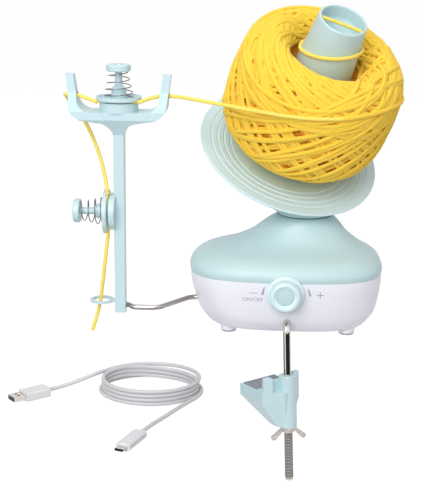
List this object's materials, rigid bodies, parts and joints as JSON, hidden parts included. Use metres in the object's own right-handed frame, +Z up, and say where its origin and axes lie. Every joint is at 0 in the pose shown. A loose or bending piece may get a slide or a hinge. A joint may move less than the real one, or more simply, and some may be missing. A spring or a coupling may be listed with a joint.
{
  "type": "electric yarn ball winder",
  "caption": "Table-clamped electric yarn winder: tilted plate and core on a geared turning head, dial base, sprung yarn guide on a bent arm, wound ball and loose lead.",
  "frame": {"origin": "on the table plane, under the winding head's upright axis", "axes": "+Z up, -Y towards the user and the dial, the yarn guide stands on the -X side"},
  "size_m": [0.3311, 0.2401, 0.3588],
  "materials": {
    "mint_abs": "satin moulded",
    "white_abs": "satin moulded",
    "soft_foot": "matt",
    "pad_rubber": "coarse matt",
    "plated_steel": "bright plated",
    "plain_steel": "drawn",
    "spring_steel": "drawn wire",
    "gear_acetal": "moulded",
    "bronze_bush": "sintered",
    "circuit_board": "laminate",
    "yarn_yellow": "spun wool",
    "white_cable": "soft vinyl"
  },
  "bodies": {
    "base": {"base_lower": "white_abs", "base_upper": "mint_abs", "rubber_feet": "soft_foot", "gear_deck": "plain_steel", "deck_screws": "plated_steel", "motor": "plain_steel", "sun_column": "plain_steel", "sun_gear": "gear_acetal", "neck_bearings": "bronze_bush", "control_board": "circuit_board", "usb_socket": "plated_steel", "speed_switch": "gear_acetal", "usb_a_shell": "plated_steel", "usb_a_body": "white_cable", "usb_cord_a": "white_cable", "usb_coil": "white_cable", "usb_cord_c": "white_cable", "usb_c_body": "white_cable", "usb_c_shell": "plated_steel"},
    "motor_rotor": {"motor_shaft": "plain_steel", "motor_pinion": "gear_acetal"},
    "dial": {"dial_knob": "mint_abs", "dial_cap": "mint_abs", "switch_shaft": "gear_acetal"},
    "head": {"drive_gear": "gear_acetal", "head_shaft": "plain_steel", "turret_body": "mint_abs", "turret_lid": "mint_abs", "bobbin_bush": "bronze_bush"},
    "planet": {"planet_gear": "gear_acetal"},
    "bobbin": {"bobbin_gear": "gear_acetal", "bobbin_shaft": "plain_steel", "bobbin_plate": "mint_abs", "bobbin_core": "mint_abs", "yarn_ball": "yarn_yellow", "core_wrap": "yarn_yellow", "yarn_end": "yarn_yellow"},
    "arm": {"guide_arm": "plated_steel"},
    "post": {"guide_post": "mint_abs", "eye_ring": "mint_abs", "upper_spring": "spring_steel", "lower_spring": "spring_steel", "yarn_tail": "yarn_yellow", "yarn_nip_low": "yarn_yellow", "yarn_rise": "yarn_yellow", "yarn_nip_high": "yarn_yellow", "yarn_lead": "yarn_yellow", "yarn_span": "yarn_yellow"},
    "upper_disc": {"upper_cup": "mint_abs"},
    "lower_disc": {"lower_cup": "mint_abs"},
    "upper_nut": {"upper_knob": "mint_abs", "upper_screw": "plated_steel"},
    "lower_nut": {"lower_knob": "mint_abs", "lower_screw": "plated_steel"},
    "clamp_bar": {"clamp_rod": "plated_steel"},
    "jaw": {"clamp_jaw": "mint_abs", "jaw_pad": "pad_rubber"},
    "wing": {"wing_nut": "plated_steel"}
  },
  "joints": [
    {"name": "head_turn", "type": "hinge", "parent": "base", "child": "head", "pos_m": [0, 0, 0.088], "axis": [0, 0, 1], "continuous": true, "deforming": ["yarn_span"]},
    {"name": "planet_spin", "type": "hinge", "parent": "head", "child": "planet", "pos_m": [-0.0103, 0.01714, 0.094], "axis": [0, 0, 1], "continuous": true},
    {"name": "bobbin_spin", "type": "hinge", "parent": "head", "child": "bobbin", "pos_m": [-0.01402, 0.02334, 0.13423], "axis": [0.291, -0.4843, 0.8251], "continuous": true},
    {"name": "motor_spin", "type": "hinge", "parent": "base", "child": "motor_rotor", "pos_m": [-0.03625, 0, 0.054], "axis": [0, 0, 1], "continuous": true},
    {"name": "dial_turn", "type": "hinge", "parent": "base", "child": "dial", "pos_m": [-0.014, -0.052, 0.038], "axis": [0, -1, 0], "range_deg": [0, 280]},
    {"name": "arm_swing", "type": "hinge", "parent": "base", "child": "arm", "pos_m": [-0.088, -0.0127, 0.022], "axis": [1, 0, 0], "range_deg": [-20, 40]},
    {"name": "post_swing", "type": "hinge", "parent": "arm", "child": "post", "pos_m": [-0.1399, -0.0375, 0.022], "axis": [1, 0, 0], "range_deg": [-45, 45]},
    {"name": "upper_disc_lift", "type": "slide", "parent": "post", "child": "upper_disc", "axis": [0, 0, 1], "range_m": [0, 0.003], "stiffness_N_per_m": 300, "springref_m": -0.002, "deforming": ["upper_spring"]},
    {"name": "lower_disc_lift", "type": "slide", "parent": "post", "child": "lower_disc", "axis": [-1, 0, 0], "range_m": [0, 0.003], "stiffness_N_per_m": 300, "springref_m": -0.002, "deforming": ["lower_spring"]},
    {"name": "upper_knob_turn", "type": "hinge", "parent": "post", "child": "upper_nut", "pos_m": [-0.1399, -0.0375, 0.202], "axis": [0, 0, 1], "range_deg": [-360, 360]},
    {"name": "lower_knob_turn", "type": "hinge", "parent": "post", "child": "lower_nut", "pos_m": [-0.173, -0.0375, 0.0949], "axis": [-1, 0, 0], "range_deg": [-360, 360]},
    {"name": "rod_swing", "type": "hinge", "parent": "base", "child": "clamp_bar", "pos_m": [-0.0126, -0.048, 0.0136], "axis": [0, 1, 0], "range_deg": [-15, 15]},
    {"name": "jaw_slide", "type": "slide", "parent": "clamp_bar", "child": "jaw", "axis": [-0.0384, 0, 0.9993], "range_m": [-0.025, 0.02]},
    {"name": "jaw_turn_nut", "type": "hinge", "parent": "jaw", "child": "wing", "pos_m": [-0.00947, -0.056, -0.06794], "axis": [-0.0384, 0, 0.9993], "range_deg": [-360, 360]}
  ],
  "couplings": [
    {"joint": "planet_spin", "follows": "head_turn", "ratio": 0.6},
    {"joint": "bobbin_spin", "follows": "head_turn", "ratio": -0.3},
    {"joint": "motor_spin", "follows": "head_turn", "ratio": -4.8}
  ]
}
